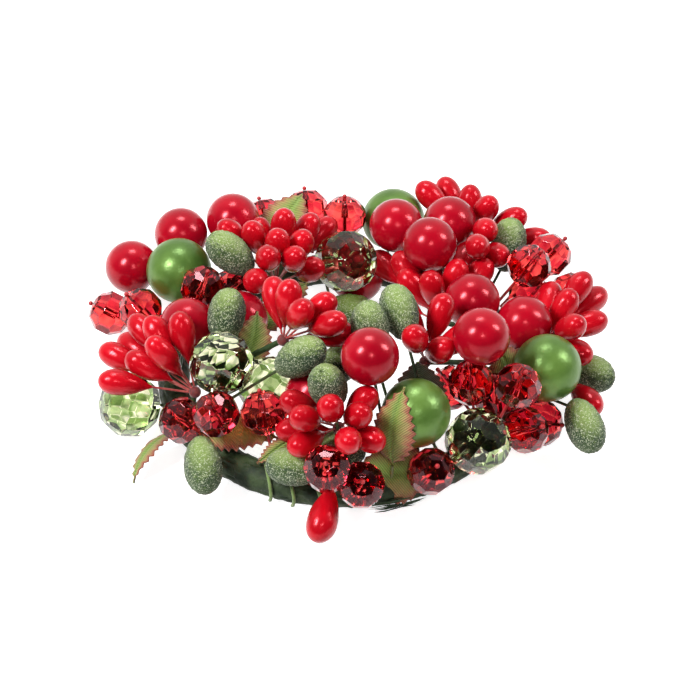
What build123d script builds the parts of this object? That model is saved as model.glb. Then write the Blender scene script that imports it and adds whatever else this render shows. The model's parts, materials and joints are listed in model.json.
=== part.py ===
from build123d import *
import math
import os

import numpy as np

# Candle ring: a taped wire hoop covered with berries, pearls, beads, crystals, buds, pips and leaves.
# Millimetres, +Z up. The origin is on the surface it stands on, in the middle of the hoop.

# Taped hoop
ring_radius = 40.5
hoop_wire_diameter = 2.0
bundle_wall = 1.7
tape_wall = 0.9
tape_fit = 0.05
tape_lap_height = 0.22
tape_laps = 32
tape_lap_slant = 24
flat_depth = 0.5
inner_ring_diameter = hoop_wire_diameter + 2 * bundle_wall
tape_diameter = inner_ring_diameter + 2 * (tape_fit + tape_wall)
ring_height = tape_diameter / 2 - flat_depth

# Binding thread, wound in open turns over the tape, and the loose end of the tape
thread_diameter = 0.8
thread_fit = 0.1
thread_bearing_degrees = [-116, -109, -101, 15, 62, 128, 205]
thread_slant = 35
wound_radius = tape_diameter / 2 + tape_lap_height + thread_fit + thread_diameter
tail_length = 11.0
tail_width = 3.2
tail_wall = 0.4
tail_lift = 0.2
tail_bearing_degrees = -83
tail_strands = 4
tail_fray_share = 0.4

# Round pieces
berry_diameter = 13.0
pearl_diameter = 15.6
bead_diameter = 10.6
crystal_diameter = 15.0

# Buds and pips
bud_diameter = 8.8
bud_length = 13.5
bud_shoulder_share = 0.42
bud_foot_share = 0.62
bud_round_share = 0.75
pip_diameter = 6.1
pip_length = 12.6
pip_nose_share = 0.33
pip_waist_share = 0.55
pip_neck_share = 0.85
pip_sizes_shares = {"pip_hanging": 1.15}
pip_thread_diameter = 0.5
stalk_diameter = 1.3
knot_diameter = 2.8

# Wires
wire_diameter = 0.7
wire_fit = 0.1
wire_reach_share = 0.5
bud_wire_reach_share = 0.3
bore_spare = 0.3
crimp_diameter = 1.1
wire_seat = 0.1

# Leaves
leaf_wall = 0.45
leaf_teeth = 9
leaf_tooth_share = 0.06
leaf_notch_share = 0.35
leaf_bend_share = 0.85
leaf_tip_share = 0.06
leaf_outline_power = 0.8
leaf_wire_gap = 0.25

# Blocks that cut, and bores that run through, in lengths of what they cut
cut_share = 4.0
through_share = 2.0

# Facets of the beads and crystals, in rows: latitude, stagger, and how many times fewer facets
facet_rows = [(0, 0.0, 1), (38, 0.5, 1), (-38, 0.5, 1), (68, 0.0, 2), (-68, 0.0, 2)]
bead_sides = 10
crystal_sides = 12
facet_depth_share = 0.94
table_share = 0.9

# Room that is kept between pieces, and the space for the candle
piece_gap = 0.15
candle_space_diameter = 24.0

# The view that the places are read from: pixels of a 700 pixel square, looking along +Y from above
view_middle_pixel = 350
view_lens_pixels = 2604
view_tilt_degrees = 40
view_distance_share = 15.3
view_target_shares = (0.03, 0.13, 0.155)
crown_share = 0.89
crown_height = ring_radius * crown_share

# Places of the round pieces: pixel across, pixel down, height as a share of the crown
berry_places_shares = {
    "berries_left": [(132, 267, 0.36), (182, 234, 0.50), (232, 220, 0.56)],
    "berries_left_low": [(186, 327, 0.61), (238, 314, 0.55)],
    "berries_back": [(396, 226, 0.62), (450, 223, 0.57), (430, 249, 0.70)],
    "berry_back_inner": [(366, 270, 0.24)],
    "berries_right": [(482, 305, 0.65), (475, 339, 0.84), (525, 322, 0.56)],
    "berries_front": [(368.5, 360, 0.86), (315, 392, 0.56)],
}
pearl_places_shares = {
    "pearl_left": [(182, 272, 0.55)],
    "pearl_back": [(397, 217, 0.38)],
    "pearl_front": [(416, 413, 0.57)],
    "pearl_right": [(542, 376, 0.47)],
}
crystal_places_shares = {
    "crystal_left": [(142, 404, 0.25)],
    "crystal_left_inner": [(223, 372, 0.58)],
    "crystal_back": [(346, 263, 0.50)],
    "crystal_front_inner": [(266, 386, 0.40)],
    "crystal_right_front": [(479, 441, 0.39)],
}
bead_places_shares = {
    "beads_left": [(112, 313, 0.28), (139, 310, 0.39)],
    "beads_left_inner": [(204, 288, 0.58), (229, 288, 0.48)],
    "beads_back": [(268, 218, 0.36), (304, 210, 0.40), (344, 217, 0.47)],
    "beads_right_back": [(524, 267, 0.57), (551, 258, 0.44), (566, 288, 0.31), (530, 296, 0.36)],
    "beads_front_left": [(187, 419, 0.39), (223, 407, 0.47), (263, 415, 0.50)],
    "beads_right": [
        (473, 382, 0.56), (518, 386, 0.67), (496, 393, 0.40), (455, 388, 0.36), (525, 430, 0.33),
        (537, 418, 0.24),
    ],
    "beads_front": [(430, 472, 0.29), (351, 484, 0.27), (335, 466, 0.42)],
}

# Buds: base, then tip
bud_places_shares = {
    "buds_left_inner": [
        ((243, 268, 0.60), (216, 246, 0.74)),
        ((220, 345, 0.55), (229, 289, 0.86)),
    ],
    "buds_middle": [
        ((287, 361, 0.74), (320, 343, 0.90)),
        ((322, 366, 0.55), (345, 348, 0.70)),
        ((336, 402, 0.62), (327, 380, 0.86)),
        ((369, 348, 0.80), (366, 315, 0.99)),
        ((399, 338, 0.83), (386, 292, 1.00)),
    ],
    "bud_back_low": [((332, 309, 0.15), (367, 311, 0.18))],
    "buds_front_left": [
        ((200, 438, 0.40), (206, 492, 0.20)),
        ((318, 466, 0.37), (280, 463, 0.34)),
        ((345, 455, 0.33), (325, 452, 0.36)),
    ],
    "buds_right": [
        ((509, 258, 0.38), (514, 229, 0.55)),
        ((572, 372, 0.25), (600, 382, 0.30)),
        ((573, 397, 0.36), (597, 453, 0.15)),
    ],
}

# Pips: the knot that they fan out from, then each pip's middle
pip_places_shares = {
    "pips_left": [
        (195, 392, 0.39),
        (142, 331, 0.56), (160, 331, 0.64), (133, 344, 0.47), (160, 351, 0.69),
        (117, 365, 0.39), (140, 367, 0.50), (120, 389, 0.35), (184, 330, 0.75),
    ],
    "pips_left_back": [
        (275, 285, 0.25),
        (232, 233, 0.72), (253, 234, 0.72), (262, 235, 0.64), (281, 224, 0.72), (277, 245, 0.80),
        (301, 244, 0.72), (269, 259, 0.80), (295, 259, 0.76), (312, 267, 0.62), (257, 280, 0.72),
        (309, 230, 0.56), (322, 229, 0.52),
    ],
    "pips_middle": [
        (283, 340, 0.72),
        (279, 296, 0.98), (294, 303, 1.00), (305, 312, 0.97), (321, 309, 1.00), (324, 321, 0.97),
        (343, 327, 0.92),
    ],
    "pips_right_back": [
        (469, 238, 0.27),
        (427, 197, 0.50), (449, 193, 0.50), (471, 204, 0.50), (488, 211, 0.52), (509, 219, 0.52),
        (487, 231, 0.66), (478, 249, 0.72), (502, 257, 0.61), (531, 239, 0.52),
    ],
    "pips_right_inner": [
        (440, 322, 0.33),
        (381, 262, 0.47), (399, 274, 0.47), (400, 293, 0.39), (413, 285, 0.48), (430, 285, 0.58),
        (429, 268, 0.50), (455, 275, 0.61), (477, 270, 0.61), (465, 257, 0.49),
    ],
    "pips_middle_right": [
        (425, 362, 0.55),
        (412, 320, 0.80), (441, 315, 0.83), (420, 338, 0.89), (441, 346, 0.79), (455, 335, 0.77),
    ],
    "pips_right": [
        (545, 338, 0.42),
        (577, 288, 0.55), (592, 298, 0.45), (562, 307, 0.61), (591, 323, 0.45), (565, 326, 0.61),
        (575, 350, 0.44), (553, 297, 0.50),
    ],
    "pips_front": [
        (338, 431, 0.41),
        (296, 404, 0.67), (290, 421, 0.50), (308, 420, 0.72), (327, 411, 0.78), (303, 441, 0.50),
        (358, 393, 0.75), (357, 418, 0.72), (368.5, 436, 0.61), (346, 445, 0.66),
    ],
    "pip_right_low": [(556, 370, 0.22), (592, 397, 0.26)],
    "pip_hanging": [(337, 474, 0.23), (325, 521, 0.095)],
}

# Leaves: base, tip, the way that the round back of the leaf faces, and its width
leaf_places_shares = {
    "leaf_left_low": [(178, 430, 0.17), (132, 480, 0.07), (-0.60, 0.44, 0.52), 0.45],
    "leaf_left_inner": [(248, 374, 0.31), (258, 319, 0.61), (0.20, -0.60, 0.75), 0.75],
    "leaf_middle": [(264, 332, 0.20), (308, 281, 0.36), (0.00, -0.30, 0.90), 0.55],
    "leaf_front_left": [(203, 433, 0.25), (280, 436, 0.30), (0.00, -0.30, 0.95), 0.60],
    "leaf_front_low": [(292, 438, 0.33), (257, 463, 0.23), (0.30, -0.50, 0.80), 0.45],
    "leaf_back": [(268, 252, 0.36), (302, 193, 0.61), (0.00, -0.50, 0.85), 0.75],
    "leaf_pearl_back": [(425, 420, 0.25), (421, 356, 0.69), (0.00, 1.00, 0.20), 0.80],
    "leaf_pearl_left": [(384, 455, 0.33), (394, 380, 0.80), (-0.50, -0.75, 0.40), 0.62],
    "leaf_front": [(386, 443, 0.29), (378, 502, 0.16), (0.05, -0.30, 0.95), 1.05],
    "leaf_right": [(522, 387, 0.23), (496, 344, 0.55), (0.00, -0.75, 0.65), 0.85],
}


def view_vectors():
    """Where the view is taken from, and its forward and up directions."""
    tilt = math.radians(view_tilt_degrees)
    forward = np.array([0, math.cos(tilt), -math.sin(tilt)])
    up = np.array([0, math.sin(tilt), math.cos(tilt)])
    target = ring_radius * np.array(view_target_shares)
    eye = target - ring_radius * view_distance_share * forward
    return eye, forward, up


view_eye, view_forward, view_up = view_vectors()


def seen_at(across, down, height_share):
    """The place at that share of the crown's height which the view shows at that pixel."""
    right = np.array([1.0, 0, 0])
    sight = view_forward + right * (across - view_middle_pixel) / view_lens_pixels
    sight = sight + view_up * (view_middle_pixel - down) / view_lens_pixels
    reach = (crown_height * height_share - view_eye[2]) / sight[2]
    return view_eye + reach * sight


def unit(vector):
    return vector / np.linalg.norm(vector)


class Piece:
    """A berry, pearl, bead, crystal, bud, pip or knot: its place, direction and the balls it fills."""

    def __init__(self, node, kind, place, axis, balls, knot=None, size_share=1.0):
        self.node = node
        self.kind = kind
        self.place = place
        self.axis = axis
        self.balls = [(offset * size_share, radius * size_share) for offset, radius in balls]
        self.knot = knot
        self.size_share = size_share

    def ball_places(self):
        return [self.place + self.axis * offset for offset, radius in self.balls]


def round_pieces(places, kind, diameter):
    upward = np.array([0, 0, 1.0])
    return [
        Piece(node, kind, seen_at(*place), upward, [(0, diameter / 2)])
        for node, row in places.items()
        for place in row
    ]


# The balls that stand for a bud and a pip: offset as a share of its length, radius as a share of its own
bud_balls_shares = [(0.17, 0.97), (0.0, 1.0), (-0.24, 0.8)]
pip_balls_shares = [(0.04, 1.0), (-0.2, 0.92), (-0.4, 0.66), (-0.56, 0.36)]


def filled_balls(shares, length, diameter):
    return [(offset * length, radius * diameter / 2) for offset, radius in shares]


def bud_pieces():
    balls = filled_balls(bud_balls_shares, bud_length, bud_diameter)
    pieces = []
    for node, row in bud_places_shares.items():
        for base, tip in row:
            low, high = seen_at(*base), seen_at(*tip)
            pieces.append(Piece(node, "bud", (low + high) / 2, unit(high - low), balls))
    return pieces


def pip_pieces():
    """The knot of each cluster, then the pips that are threaded to it."""
    balls = filled_balls(pip_balls_shares, pip_length, pip_diameter)
    pieces = []
    for node, row in pip_places_shares.items():
        knot = Piece("pip_stalks", "knot", seen_at(*row[0]), view_up, [(0, knot_diameter / 2)])
        pieces.append(knot)
        size_share = pip_sizes_shares.get(node, 1.0)
        for place in row[1:]:
            middle = seen_at(*place)
            axis = unit(middle - knot.place)
            pieces.append(Piece(node, "pip", middle, axis, balls, knot, size_share))
    return pieces


class Leaf:
    """A leaf: its base, the way that it runs, the way that its round back faces, and its size."""

    def __init__(self, base, tip, back, width_share):
        low, high = seen_at(*base), seen_at(*tip)
        self.place = low
        self.length = np.linalg.norm(high - low)
        self.width = self.length * width_share
        self.along = unit(high - low)
        self.back = unit(np.cross(np.cross(self.along, np.array(back)), self.along))
        self.spread = self.spread_points()

    def plane(self):
        return Plane(origin=Vector(*self.place), x_dir=Vector(*self.along), z_dir=Vector(*-self.back))

    def points(self):
        """Places spread over the blade."""
        return self.place + self.spread

    def spread_points(self):
        """Places spread over the blade, measured from its base."""
        side = np.cross(-self.back, self.along)
        bend = self.length * leaf_bend_share
        spots = []
        for step in range(1, leaf_teeth + 1):
            share = step / (leaf_teeth + 1)
            along = self.length * (share - 0.5)
            for across in np.linspace(-1, 1, leaf_teeth) * leaf_reach(share, self.width):
                rise = math.sqrt(bend ** 2 - along ** 2 - across ** 2)
                rise -= math.sqrt(bend ** 2 - self.length ** 2 / 4)
                spots.append(self.along * (along + self.length / 2) + side * across + self.back * rise)
        return np.array(spots)


def leaf_reach(share, width):
    """How far a leaf reaches to either side, at a share of its length."""
    return width / 2 * math.sin(math.pi * share ** leaf_outline_power) ** leaf_outline_power


settle_rounds = 400
side_push_share = 0.3
step_share = 0.6
still_share = 0.02


def push_off_hoop(places, radii):
    """How far balls have to move to clear the tape."""
    flat = places * np.array([1, 1, 0])
    nearest = flat / np.linalg.norm(flat, axis=1)[:, None] * ring_radius + np.array([0, 0, ring_height])
    away = places - nearest
    distance = np.linalg.norm(away, axis=1)
    lack = np.maximum(radii + wound_radius + piece_gap - distance, 0)
    return away * (lack / distance)[:, None]


def push_off_candle(places, radii):
    """How far balls have to move to clear the candle."""
    flat = places * np.array([1, 1, 0])
    distance = np.linalg.norm(flat, axis=1)
    lack = np.maximum(radii + candle_space_diameter / 2 - distance, 0)
    return flat * (lack / distance)[:, None]


def push_off_floor(places, radii):
    lack = np.maximum(radii + piece_gap - places[:, 2], 0)
    return lack[:, None] * np.array([0, 0, 1])


def push_off_fixed(places, radii):
    return push_off_hoop(places, radii) + push_off_candle(places, radii) + push_off_floor(places, radii)


def settle(pieces):
    """Moves pieces apart until none is in another, mostly along the line of sight."""
    owner = np.array([i for i, piece in enumerate(pieces) for ball in piece.balls])
    radii = np.array([ball[1] for piece in pieces for ball in piece.balls])
    sights = np.array([unit(piece.place - view_eye) for piece in pieces])
    reach = radii[:, None] + radii[None, :] + piece_gap
    other = owner[:, None] != owner[None, :]
    for _ in range(settle_rounds):
        places = np.array([place for piece in pieces for place in piece.ball_places()])
        apart = places[:, None, :] - places[None, :, :]
        distance = np.linalg.norm(apart, axis=2) + np.eye(len(radii)) * reach
        lack = np.where(other, np.maximum(reach - distance, 0), 0)
        push = (apart / distance[:, :, None] * lack[:, :, None]).sum(axis=1) / 2
        moves = np.zeros((len(pieces), 3))
        np.add.at(moves, owner, push)
        along = (moves * sights).sum(axis=1)[:, None] * sights
        moves = along + (moves - along) * side_push_share
        np.add.at(moves, owner, push_off_fixed(places, radii))
        if np.abs(moves).max() < piece_gap * still_share:
            break
        for piece, move in zip(pieces, moves):
            piece.place = piece.place + move * step_share
            if piece.knot is not None:
                piece.axis = unit(piece.place - piece.knot.place)


def settle_leaf(leaf, places, radii):
    """Slides a leaf out of the balls, the tape and the floor, mostly along the line of sight."""
    sight = unit(leaf.place - view_eye)
    for _ in range(settle_rounds):
        points = leaf.points()
        apart = points[:, None, :] - places[None, :, :]
        distance = np.linalg.norm(apart, axis=2)
        lack = np.maximum(radii + leaf_wall + piece_gap - distance, 0)
        push = (apart / distance[:, :, None] * lack[:, :, None]).sum(axis=1)
        push += push_off_hoop(points, leaf_wall) + push_off_floor(points, leaf_wall)
        touching = np.count_nonzero(np.abs(push).sum(axis=1))
        if touching == 0:
            break
        move = push.sum(axis=0) / touching
        along = move @ sight * sight
        leaf.place = leaf.place + along + (move - along) * side_push_share


attach_turns_degrees = [0, 6, -6, 12, -12, 18, -18, 25, -25, 33, -33, 42, -42]
attach_climbs_degrees = [90, 70, 110, 50, 130, 30, 150, 10, 170]
run_steps = 12
blocked_cost = 50


def tape_place(bearing, climb, radius):
    """A place by the taped hoop: bearing round the hoop, climb round the tape, from its outside."""
    reach = ring_radius + radius * math.cos(climb)
    rise = ring_height + radius * math.sin(climb)
    return np.array([reach * math.cos(bearing), reach * math.sin(bearing), rise])


def room_to_balls(start, end, places, radii):
    """The least room between a straight run and the balls."""
    run = end - start
    shares = np.clip((places - start) @ run / (run @ run), 0, 1)
    return (np.linalg.norm(places - start - shares[:, None] * run, axis=1) - radii).min()


def room_to_runs(start, end, runs):
    """The least room between a straight run and the runs laid before it."""
    steps = start + np.linspace(1 / run_steps, 1, run_steps)[:, None] * (end - start)
    lows, spans, radii = runs
    shares = ((steps[:, None, :] - lows) * spans).sum(axis=2) / (spans ** 2).sum(axis=1)
    nearest = lows + np.clip(shares, 0, 1)[:, :, None] * spans
    return (np.linalg.norm(steps[:, None, :] - nearest, axis=2) - radii).min()


def room_to_hoop(start, end):
    """The least room between the middle of a straight run and the tape."""
    middle = (start + end) / 2
    across = math.hypot(middle[0], middle[1]) - ring_radius
    return math.hypot(across, middle[2] - ring_height) - tape_diameter / 2 - tape_lap_height


def run_to_hoop(start, radius, places, radii, runs):
    """The place on the tape that a straight wire reaches best without passing through a piece."""
    bearing = math.atan2(start[1], start[0])
    seat = tape_diameter / 2 + tape_lap_height + radius + wire_seat
    laid = [np.array(column) for column in zip(*runs)]
    best, best_cost = None, None
    for turn in attach_turns_degrees:
        for climb in attach_climbs_degrees:
            end = tape_place(bearing + math.radians(turn), math.radians(climb), seat)
            rooms = [
                room_to_balls(start, end, places, radii),
                room_to_runs(start, end, laid),
                room_to_hoop(start, end),
            ]
            blocked = sum(max(radius + piece_gap - room, 0) for room in rooms)
            cost = blocked * blocked_cost + np.linalg.norm(end - start)
            if best is None or cost < best_cost:
                best, best_cost = end, cost
    runs.append((start, best - start, radius))
    return best


def facing(place, direction):
    return Plane(origin=Vector(*place), z_dir=Vector(*direction))


def ring_solid(diameter):
    return Pos(0, 0, ring_height) * Torus(ring_radius, diameter / 2)


def flat_cut(solid):
    """Cuts what reaches below the surface that the ring stands on."""
    size = ring_radius * cut_share
    return solid - Pos(0, 0, -size / 2) * Box(size, size, size)


def hoop_wire():
    return ring_solid(hoop_wire_diameter)


def stem_bundle():
    return ring_solid(inner_ring_diameter) - ring_solid(hoop_wire_diameter + 2 * tape_fit)


def tape_wrap():
    """Laps of tape, each a short cone that starts proud of the one before."""
    low = tape_diameter / 2
    high = low + tape_lap_height
    step = 360 / tape_laps
    centre = Plane(origin=(ring_radius, 0, ring_height), x_dir=(1, 0, 0), z_dir=(0, 1, 0))
    slant = centre.rotated((0, tape_lap_slant, 0))
    first = slant * Circle(high)
    second = Rot(0, 0, step) * (slant * Circle(low))
    lap = loft([first, second], ruled=True)
    laps = [Rot(0, 0, step * index) * lap for index in range(tape_laps)]
    whole = laps[0].fuse(*laps[1:])
    bore = ring_solid(inner_ring_diameter + 2 * tape_fit)
    return flat_cut(Part(whole.wrapped) - bore)


def thread_stops(bearing):
    """Places along a leaning turn of the binding thread, over the tape from floor to floor."""
    seat = wound_radius - thread_diameter / 2
    lean = math.tan(math.radians(thread_slant)) * seat / ring_radius
    dip = math.asin((ring_height - thread_diameter / 2) / seat)
    climbs = np.linspace(-dip, math.pi + dip, run_steps)
    return [tape_place(math.radians(bearing) + lean * math.cos(climb), climb, seat) for climb in climbs]


def thread_turn(bearing):
    path = Spline(*[tuple(stop) for stop in thread_stops(bearing)])
    return sweep(Plane(origin=path @ 0, z_dir=path % 0) * Circle(thread_diameter / 2), path)


def tape_tail():
    """A strip of tape along the outside of the hoop, cut into strands at its end."""
    inner = ring_radius + tape_diameter / 2 + tape_lap_height + tape_fit
    middle = tail_lift + tail_width / 2
    section = Plane.XZ * Pos(inner + tail_wall / 2, middle) * Rectangle(tail_wall, tail_width)
    strip = revolve(section, Axis.Z, revolution_arc=math.degrees(tail_length / inner))
    strand = tail_width / tail_strands
    across = Plane(origin=(inner, 0, middle), x_dir=(0, 1, 0), z_dir=(1, 0, 0))
    for index in range(1, tail_strands):
        edge = strand * index - tail_width / 2
        corners = [(0, edge - strand / 2), (tail_length * tail_fray_share, edge), (0, edge + strand / 2)]
        strip -= across * extrude(make_face(Polyline(*corners, close=True)), tail_width, both=True)
    return Rot(0, 0, tail_bearing_degrees) * strip


def facet_ball(diameter, sides):
    """A ball cut from a block by flat facets in staggered rows, with a table at each pole."""
    radius = diameter / 2
    ball = Box(diameter, diameter, diameter * table_share)
    for latitude, stagger, fewer in facet_rows:
        row_sides = sides // fewer
        for index in range(row_sides):
            turn = 360 / row_sides * (index + stagger)
            normal = Vector(1, 0, 0).rotate(Axis.Y, -latitude).rotate(Axis.Z, turn)
            cut = Plane(origin=normal * radius * facet_depth_share, z_dir=normal)
            ball = split(ball, bisect_by=cut, keep=Keep.BOTTOM)
    return ball


def pierced(ball, diameter):
    return ball - Cylinder(wire_diameter / 2 + wire_fit, diameter * through_share)


def drilled(ball, diameter):
    """A ball with a blind bore from below for its wire."""
    depth = diameter / 2 * wire_reach_share - bore_spare
    return ball - Pos(0, 0, -depth) * bore_down(diameter)


def bore_down(length):
    """A bore whose upper end is at the origin."""
    down = (Align.CENTER, Align.CENTER, Align.MAX)
    return Cylinder(wire_diameter / 2 + wire_fit, length, align=down)


def bud_solid():
    """An egg that is wider near its tip, with its middle at the origin and its tip up."""
    radius = bud_diameter / 2
    top = bud_length / 2
    widest = top - bud_length * bud_shoulder_share
    outline = [
        Bezier((0, -top), (radius * bud_foot_share, -top), (radius, (widest - top) / 2), (radius, widest)),
        Bezier((radius, widest), (radius, top * bud_round_share), (radius / 2, top), (0, top)),
        Line((0, top), (0, -top)),
    ]
    return revolve(Plane.XZ * make_face(outline), Axis.Z)


def pip_solid(thread_length, size_share):
    """A drop with its widest place at the origin and its nose up, on a thread that runs down."""
    radius = pip_diameter * size_share / 2
    nose = pip_length * size_share * pip_nose_share
    tail = pip_length * size_share - nose
    neck = pip_thread_diameter / 2
    waist = -tail * pip_waist_share
    outline = [
        Bezier((0, nose), (radius * bud_foot_share, nose), (radius, nose / 2), (radius, 0)),
        Bezier((radius, 0), (radius, waist), (neck, -tail * pip_neck_share), (neck, -tail)),
        Polyline((neck, -tail), (neck, -thread_length), (0, -thread_length), (0, nose)),
    ]
    return revolve(Plane.XZ * make_face(outline), Axis.Z)


def straight_wire(start, end, diameter):
    length = np.linalg.norm(end - start)
    rod = Cylinder(diameter / 2, length, align=(Align.CENTER, Align.CENTER, Align.MIN))
    return facing(start, end - start) * rod


def headed_wire(start, end, diameter, head_diameter):
    """A straight wire with a ball at its start."""
    length = np.linalg.norm(end - start)
    neck, head = diameter / 2, head_diameter / 2
    outline = [
        ThreePointArc((0, -head), (head, 0), (neck, math.sqrt(head ** 2 - neck ** 2))),
        Polyline((neck, math.sqrt(head ** 2 - neck ** 2)), (neck, length), (0, length), (0, -head)),
    ]
    return facing(start, end - start) * revolve(Plane.XZ * make_face(outline), Axis.Z)


def leaf_blade(length, width):
    """A cupped leaf with a toothed edge, base at the origin, along +X, its hollow side up."""
    tooth = length * leaf_tooth_share
    side = []
    for index in range(1, leaf_teeth + 1):
        share = index / (leaf_teeth + 1)
        notch = share + leaf_notch_share / (leaf_teeth + 1)
        out = leaf_reach(share, width)
        side.append((length * share, out))
        side.append((length * notch, max(out - tooth, width * leaf_tip_share)))
    outline = [(0, 0)] + side + [(length, 0)] + [(along, -out) for along, out in reversed(side)]
    blade = extrude(make_face(Polyline(*outline, close=True)), amount=length, both=True)
    bend = length * leaf_bend_share
    shell = Sphere(bend) - Sphere(bend - leaf_wall)
    rise = math.sqrt(bend ** 2 - length ** 2 / 4)
    size = length * cut_share
    lower = Pos(0, 0, rise - size / 2) * Box(size, size, size)
    return blade & (Pos(length / 2, 0, rise) * shell) & lower


def notched(blade, leaf, places, radii):
    """The largest piece of a leaf that is left when the balls it still touches are cut away."""
    points = leaf.points()
    for place, radius in zip(places, radii):
        if np.linalg.norm(points - place, axis=1).min() < radius + leaf_wall + piece_gap:
            blade -= Pos(*place) * Sphere(radius + piece_gap)
    return max(blade.solids(), key=lambda solid: solid.volume)


def build_pip(piece, nodes, runs):
    reach = piece.knot.place - piece.place
    length = np.linalg.norm(reach) - knot_diameter / 2
    nodes[piece.node].append(facing(piece.place, piece.axis) * pip_solid(length, piece.size_share))
    runs.append((piece.place, reach - unit(reach) * knot_diameter, pip_thread_diameter / 2))


def build():
    pieces = round_pieces(berry_places_shares, "berry", berry_diameter)
    pieces += round_pieces(pearl_places_shares, "pearl", pearl_diameter)
    pieces += round_pieces(crystal_places_shares, "crystal", crystal_diameter)
    pieces += round_pieces(bead_places_shares, "bead", bead_diameter)
    pieces += bud_pieces()
    pieces += pip_pieces()
    settle(pieces)
    leaves = {node: Leaf(*row) for node, row in leaf_places_shares.items()}
    places = np.array([place for piece in pieces for place in piece.ball_places()])
    radii = np.array([ball[1] for piece in pieces for ball in piece.balls])
    for leaf in leaves.values():
        settle_leaf(leaf, places, radii)

    nodes = {
        "hoop_wire": [hoop_wire()],
        "stem_bundle": [stem_bundle()],
        "tape_wrap": [tape_wrap()],
        "tape_tail": [tape_tail()],
        "binding_thread": [thread_turn(bearing) for bearing in thread_bearing_degrees],
    }
    shapes = {
        "berry": drilled(Sphere(berry_diameter / 2), berry_diameter),
        "pearl": drilled(Sphere(pearl_diameter / 2), pearl_diameter),
        "crystal": drilled(facet_ball(crystal_diameter, crystal_sides), crystal_diameter),
        "bead": pierced(facet_ball(bead_diameter, bead_sides), bead_diameter),
        "bud": bud_solid(),
    }
    blade_places = np.concatenate([leaf.points() for leaf in leaves.values()])
    blade_radii = np.full(len(blade_places), leaf_wall)
    turn_places = np.array([stop for bearing in thread_bearing_degrees for stop in thread_stops(bearing)])
    turn_radii = np.full(len(turn_places), thread_diameter)
    runs = []
    for piece in pieces:
        nodes.setdefault(piece.node, [])
        if piece.kind == "pip":
            build_pip(piece, nodes, runs)
    for piece in pieces:
        if piece.kind == "pip":
            continue
        others = np.array([other is not piece for other in pieces for ball in other.balls])
        near_places = np.concatenate([places[others], blade_places, turn_places])
        near_radii = np.concatenate([radii[others], blade_radii, turn_radii])
        row = nodes[piece.node]
        if piece.kind == "knot":
            foot = run_to_hoop(piece.place, stalk_diameter / 2, near_places, near_radii, runs)
            row.append(headed_wire(piece.place, foot, stalk_diameter, knot_diameter))
            continue
        wires = nodes.setdefault(piece.kind + "_wires", [])
        radius = piece.balls[0][1]
        if piece.kind == "bud":
            start = piece.place - piece.axis * bud_length * bud_wire_reach_share
            foot = run_to_hoop(start, wire_diameter / 2, near_places, near_radii, runs)
            bore = facing(start, start - foot) * Pos(0, 0, bore_spare) * bore_down(bud_length)
            row.append(facing(piece.place, piece.axis) * shapes["bud"] - bore)
            wires.append(straight_wire(start, foot, wire_diameter))
            continue
        foot = run_to_hoop(piece.place, wire_diameter / 2, near_places, near_radii, runs)
        away = unit(piece.place - foot)
        row.append(facing(piece.place, away) * shapes[piece.kind])
        if piece.kind == "bead":
            far = piece.place + away * (radius * table_share + crimp_diameter / 2)
            wires.append(headed_wire(far, foot, wire_diameter, crimp_diameter))
        else:
            start = piece.place - away * radius * wire_reach_share
            wires.append(straight_wire(start, foot, wire_diameter))

    nodes["leaf_wires"] = []
    for node, leaf in leaves.items():
        blade = leaf.plane() * leaf_blade(leaf.length, leaf.width)
        nodes[node] = [notched(blade, leaf, places, radii)]
        start = leaf.place - leaf.along * (wire_diameter / 2 + leaf_wire_gap)
        near_places = np.concatenate([places, turn_places])
        near_radii = np.concatenate([radii, turn_radii])
        foot = run_to_hoop(start, wire_diameter / 2, near_places, near_radii, runs)
        nodes["leaf_wires"].append(straight_wire(start, foot, wire_diameter))
    return nodes, pieces, leaves


def write_parts(nodes):
    os.makedirs("parts", exist_ok=True)
    for name, solids in nodes.items():
        flat = [solid for shape in solids for solid in shape.solids()]
        export_step(Compound(label=name, children=flat), f"parts/{name}.step")


nodes, pieces, leaves = build()
write_parts(nodes)
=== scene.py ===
import json
import math
import random

import bmesh
import bpy
from mathutils import Matrix, Vector, noise


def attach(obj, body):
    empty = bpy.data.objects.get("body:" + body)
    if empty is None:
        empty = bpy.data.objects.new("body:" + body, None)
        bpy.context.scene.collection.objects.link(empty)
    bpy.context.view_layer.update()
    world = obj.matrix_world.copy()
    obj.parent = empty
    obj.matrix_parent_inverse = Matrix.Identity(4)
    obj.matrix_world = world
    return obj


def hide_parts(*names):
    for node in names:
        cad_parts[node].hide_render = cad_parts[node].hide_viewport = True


# Looks of a candle ring: glossy berries, pearl balls, faceted beads and crystals, sugared buds, pips on
# threads and cloth leaves round a taped hoop. Metres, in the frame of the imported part.

millimetre = 0.001

# Hoop and tape
ring_radius = 40.5 * millimetre
tape_radius = 3.65 * millimetre
tape_lap_height = 0.22 * millimetre
tape_laps = 32
tape_lap_slant = math.radians(24)
ring_height = 3.15 * millimetre
tape_steps_round = 560
tape_steps_across = 44
crepe_depth = 0.62 * millimetre
crepe_lines_across = 34
crepe_lines_round = 34
crepe_wander = 60
crepe_stretch = 4

# Berries and pearls
berry_rows = 24
berry_steps = 44
dimple_depth_share = 0.10
dimple_spread = 0.30
inner_share = 0.97

# Pips
pip_radius = 3.05 * millimetre
pip_length = 12.6 * millimetre
pip_nose_share = 0.33
pip_foot_share = 0.62
pip_waist_share = 0.55
pip_neck_share = 0.85
pip_sizes_shares = {"pip_hanging": 1.15}
pip_thread_radius = 0.25 * millimetre
pip_rows = 14
pip_steps = 20
pip_paint_share = 0.97
pip_uneven = 0.12 * millimetre
pip_uneven_scale = 260

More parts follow.
